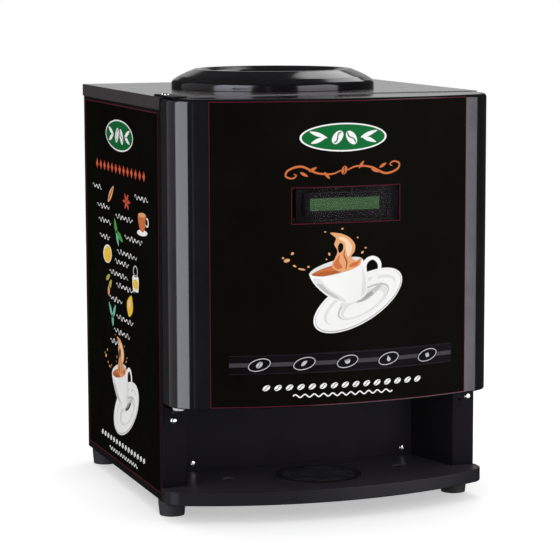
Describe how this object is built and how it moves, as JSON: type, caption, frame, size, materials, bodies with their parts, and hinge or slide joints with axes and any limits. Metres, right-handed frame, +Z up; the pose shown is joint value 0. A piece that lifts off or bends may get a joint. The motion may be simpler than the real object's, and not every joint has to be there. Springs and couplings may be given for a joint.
{
  "type": "coffee vending machine",
  "caption": "Table-top hot drinks vending machine: bowed door with display and keys, cup niche with drip tray, seat for a water jar on top.",
  "frame": {"origin": "centre of the machine's footprint on the surface that it stands on", "axes": "+Z up, +Y towards the rear panel, so the door and the cup niche face -Y; +X to the right seen from the front"},
  "size_m": [0.404, 0.4422, 0.5235],
  "materials": {
    "black_gloss": "high-gloss moulded, black",
    "black_coat": "gloss powder coat, black",
    "cover_coat": "semi-gloss powder coat, charcoal",
    "inner_coat": "satin powder coat, pale grey",
    "zinc": "zinc plated",
    "film": "printed vinyl, warm black",
    "rubber": "moulded, matt",
    "bright": "bright plated",
    "motor": "dark enamel",
    "stainless": "satin",
    "brass": "machined",
    "natural": "translucent natural",
    "silicone": "translucent silicone",
    "board": "solder-masked laminate",
    "dark_plastic": "fine texture, black",
    "window": "smoked clear",
    "display": "lit green panel in a dark bezel",
    "strip": "printed membrane, dark grey",
    "brown": "translucent brown",
    "white": "smooth white",
    "red": "translucent red"
  },
  "bodies": {
    "cabinet": {"base_pan": "zinc", "left_side_panel": "black_coat", "right_side_panel": "black_coat", "rear_panel": "black_coat", "top_cover": "cover_coat", "side_films": "film", "rubber_feet": "rubber", "screws": "bright", "niche_liner": "black_coat", "niche_ceiling": "black_coat", "whipper_panel": "inner_coat", "canister_shelf": "inner_coat", "motor_panel": "inner_coat", "hinge_brackets": "black_coat", "lock_strike": "zinc", "auger_motors": "motor", "whipper_motors": "motor", "nozzle_bracket": "dark_plastic", "water_spouts": "stainless", "boiler": "stainless", "cold_tank": "natural", "solenoid_valves": "brass", "water_hoses": "silicone", "power_supply": "zinc", "control_board": "board", "fan_frame": "dark_plastic", "power_inlet": "dark_plastic"},
    "door": {"door_shell": "black_gloss", "door_inner_panel": "dark_plastic", "front_film": "film", "display_window": "window", "display_module": "display", "keypad_strip": "strip", "keypad_board": "board", "hinge_bushes": "white", "lock_body": "bright"},
    "lock_core": {"lock_cylinder": "bright"},
    "coffee_button": {"coffee_key": "dark_plastic"},
    "tea_button": {"tea_key": "dark_plastic"},
    "half_cup_button": {"half_cup_key": "dark_plastic"},
    "hot_water_button": {"hot_water_key": "dark_plastic"},
    "stop_button": {"stop_key": "dark_plastic"},
    "tray": {"drip_tray": "black_gloss"},
    "cover": {"tray_cover": "black_gloss"},
    "grid": {"strainer": "dark_plastic"},
    "seat": {"bottle_seat": "black_gloss"},
    "left_hopper": {"left_canister": "natural"},
    "left_hopper_lid": {"left_canister_lid": "dark_plastic"},
    "left_feed": {"left_auger": "white"},
    "left_bowl": {"left_mixing_bowl": "brown", "left_product_hose": "silicone"},
    "left_whipper": {"left_whisk": "white"},
    "right_hopper": {"right_canister": "natural"},
    "right_hopper_lid": {"right_canister_lid": "dark_plastic"},
    "right_feed": {"right_auger": "white"},
    "right_bowl": {"right_mixing_bowl": "brown", "right_product_hose": "silicone"},
    "right_whipper": {"right_whisk": "white"},
    "fan_wheel": {"fan_rotor": "dark_plastic"},
    "rocker": {"power_rocker": "red"}
  },
  "joints": [
    {"name": "door_hinge", "type": "hinge", "parent": "cabinet", "child": "door", "pos_m": [-0.189, -0.1639, 0.3], "axis": [0, 0, -1], "range_deg": [0, 110]},
    {"name": "lock_turn", "type": "hinge", "parent": "door", "child": "lock_core", "pos_m": [0.19, -0.1559, 0.34403], "axis": [1, 0, 0], "range_deg": [0, 90]},
    {"name": "coffee_press", "type": "slide", "parent": "door", "child": "coffee_button", "axis": [0.2002, 0.9798, 0], "range_m": [0, 0.0008], "stiffness_N_per_m": 400},
    {"name": "tea_press", "type": "slide", "parent": "door", "child": "tea_button", "axis": [0.1001, 0.995, 0], "range_m": [0, 0.0008], "stiffness_N_per_m": 400},
    {"name": "half_cup_press", "type": "slide", "parent": "door", "child": "half_cup_button", "axis": [0, 1, 0], "range_m": [0, 0.0008], "stiffness_N_per_m": 400},
    {"name": "hot_water_press", "type": "slide", "parent": "door", "child": "hot_water_button", "axis": [-0.1001, 0.995, 0], "range_m": [0, 0.0008], "stiffness_N_per_m": 400},
    {"name": "stop_press", "type": "slide", "parent": "door", "child": "stop_button", "axis": [-0.2002, 0.9798, 0], "range_m": [0, 0.0008], "stiffness_N_per_m": 400},
    {"name": "tray_slide", "type": "slide", "parent": "cabinet", "child": "tray", "axis": [0, -1, 0], "range_m": [0, 0.1]},
    {"name": "cover_lift", "type": "slide", "parent": "tray", "child": "cover", "axis": [0, 0, 1], "range_m": [0, 0.06]},
    {"name": "strainer_lift", "type": "slide", "parent": "cover", "child": "grid", "axis": [0, 0, 1], "range_m": [0, 0.025]},
    {"name": "seat_lift", "type": "slide", "parent": "cabinet", "child": "seat", "axis": [0, 0, 1], "range_m": [0, 0.06]},
    {"name": "left_canister_slide", "type": "slide", "parent": "cabinet", "child": "left_hopper", "axis": [0, -1, 0], "range_m": [0, 0.028]},
    {"name": "left_lid_lift", "type": "slide", "parent": "left_hopper", "child": "left_hopper_lid", "axis": [0, 0, 1], "range_m": [0, 0.03]},
    {"name": "left_auger_spin", "type": "hinge", "parent": "left_hopper", "child": "left_feed", "pos_m": [-0.076, -0.0939, 0.3142], "axis": [0, -1, 0], "continuous": true},
    {"name": "left_bowl_slide", "type": "slide", "parent": "cabinet", "child": "left_bowl", "axis": [0, -1, 0], "range_m": [0, 0.018]},
    {"name": "left_whisk_spin", "type": "hinge", "parent": "cabinet", "child": "left_whipper", "pos_m": [-0.076, -0.1139, 0.225], "axis": [0, -1, 0], "continuous": true},
    {"name": "right_canister_slide", "type": "slide", "parent": "cabinet", "child": "right_hopper", "axis": [0, -1, 0], "range_m": [0, 0.028]},
    {"name": "right_lid_lift", "type": "slide", "parent": "right_hopper", "child": "right_hopper_lid", "axis": [0, 0, 1], "range_m": [0, 0.03]},
    {"name": "right_auger_spin", "type": "hinge", "parent": "right_hopper", "child": "right_feed", "pos_m": [0.076, -0.0939, 0.3142], "axis": [0, -1, 0], "continuous": true},
    {"name": "right_bowl_slide", "type": "slide", "parent": "cabinet", "child": "right_bowl", "axis": [0, -1, 0], "range_m": [0, 0.018]},
    {"name": "right_whisk_spin", "type": "hinge", "parent": "cabinet", "child": "right_whipper", "pos_m": [0.076, -0.1139, 0.225], "axis": [0, -1, 0], "continuous": true},
    {"name": "fan_spin", "type": "hinge", "parent": "cabinet", "child": "fan_wheel", "pos_m": [0.12, 0.1999, 0.4], "axis": [0, 1, 0], "continuous": true},
    {"name": "rocker_tilt", "type": "hinge", "parent": "cabinet", "child": "rocker", "pos_m": [-0.13, 0.2155, 0.091], "axis": [1, 0, 0], "range_deg": [0, 14]}
  ]
}
